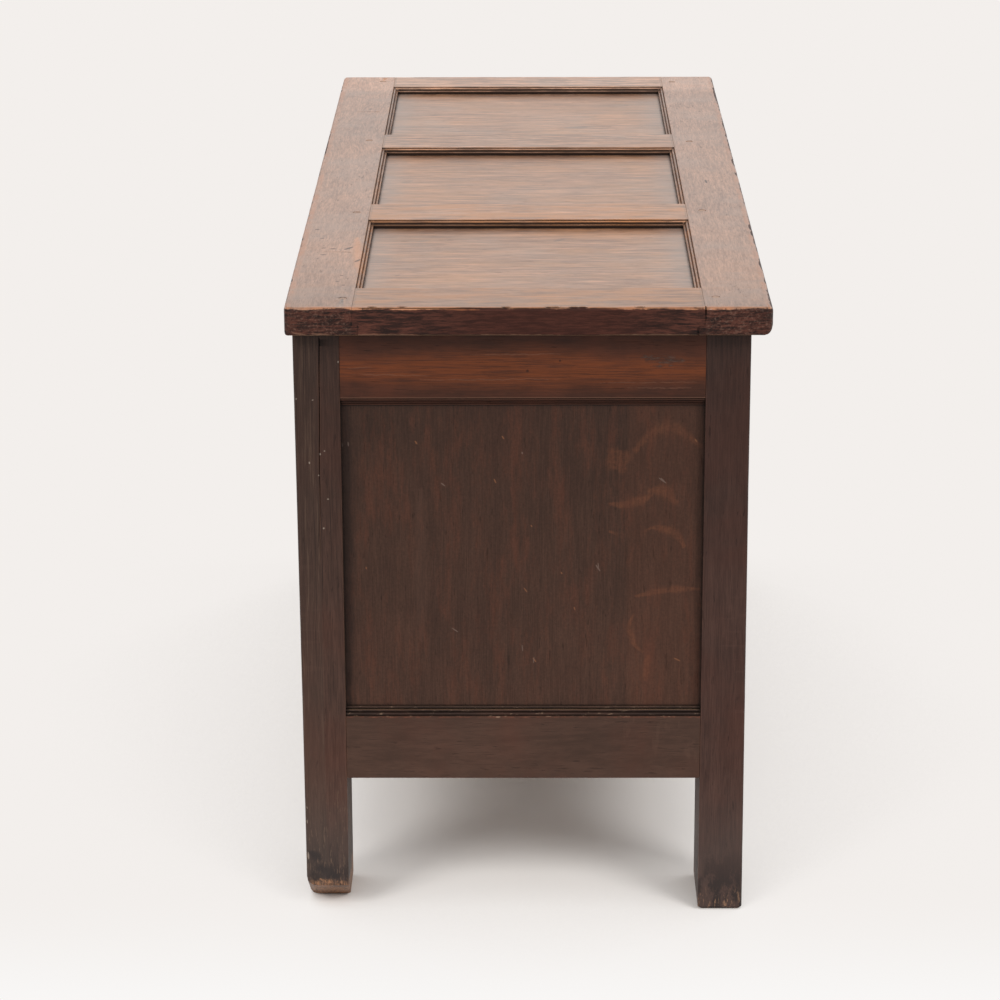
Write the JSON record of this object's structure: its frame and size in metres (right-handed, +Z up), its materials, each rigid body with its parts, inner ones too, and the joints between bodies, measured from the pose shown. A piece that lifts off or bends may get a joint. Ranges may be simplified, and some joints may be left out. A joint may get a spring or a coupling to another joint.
{
  "type": "coffer chest",
  "caption": "Joined oak storage chest on stile feet, with panelled walls, bottom boards and a framed, panelled lid that lifts on linked iron eye hinges.",
  "frame": {"origin": "on the floor, under the centre of the lid", "axes": "+X along the chest from its left end to its right end, front towards -Y, +Z up"},
  "size_m": [1.245, 0.51, 0.6943],
  "materials": {
    "case_oak": "dark waxed oak",
    "lid_oak": "rubbed and waxed oak, paler than the case",
    "board_oak": "unfinished dry oak",
    "iron": "black forged iron"
  },
  "bodies": {
    "case": {"stile_front_left": "case_oak", "stile_front_right": "case_oak", "stile_rear_left": "case_oak", "stile_rear_right": "case_oak", "front_top_rail": "case_oak", "front_bottom_rail": "case_oak", "front_muntin_left": "case_oak", "front_muntin_right": "case_oak", "front_panel_left": "case_oak", "front_panel_middle": "case_oak", "front_panel_right": "case_oak", "rear_top_rail": "case_oak", "rear_bottom_rail": "case_oak", "rear_muntin_left": "case_oak", "rear_muntin_right": "case_oak", "rear_panel_left": "case_oak", "rear_panel_middle": "case_oak", "rear_panel_right": "case_oak", "left_end_top_rail": "case_oak", "left_end_bottom_rail": "case_oak", "left_end_panel": "case_oak", "right_end_top_rail": "case_oak", "right_end_bottom_rail": "case_oak", "right_end_panel": "case_oak", "bottom_board_1": "board_oak", "bottom_board_2": "board_oak", "bottom_board_3": "board_oak", "bottom_board_4": "board_oak", "bottom_board_5": "board_oak", "bottom_board_6": "board_oak", "hinge_left_case_eye": "iron", "hinge_right_case_eye": "iron"},
    "lid": {"lid_front_rail": "lid_oak", "lid_rear_rail": "lid_oak", "lid_left_rail": "lid_oak", "lid_right_rail": "lid_oak", "lid_muntin_left": "lid_oak", "lid_muntin_right": "lid_oak", "lid_panel_left": "lid_oak", "lid_panel_middle": "lid_oak", "lid_panel_right": "lid_oak", "hinge_left_lid_eye": "iron", "hinge_right_lid_eye": "iron"}
  },
  "joints": [
    {"name": "lid_hinge", "type": "hinge", "parent": "case", "child": "lid", "pos_m": [0, 0.2484, 0.6573], "axis": [-1, 0, 0], "range_deg": [0, 100]}
  ]
}
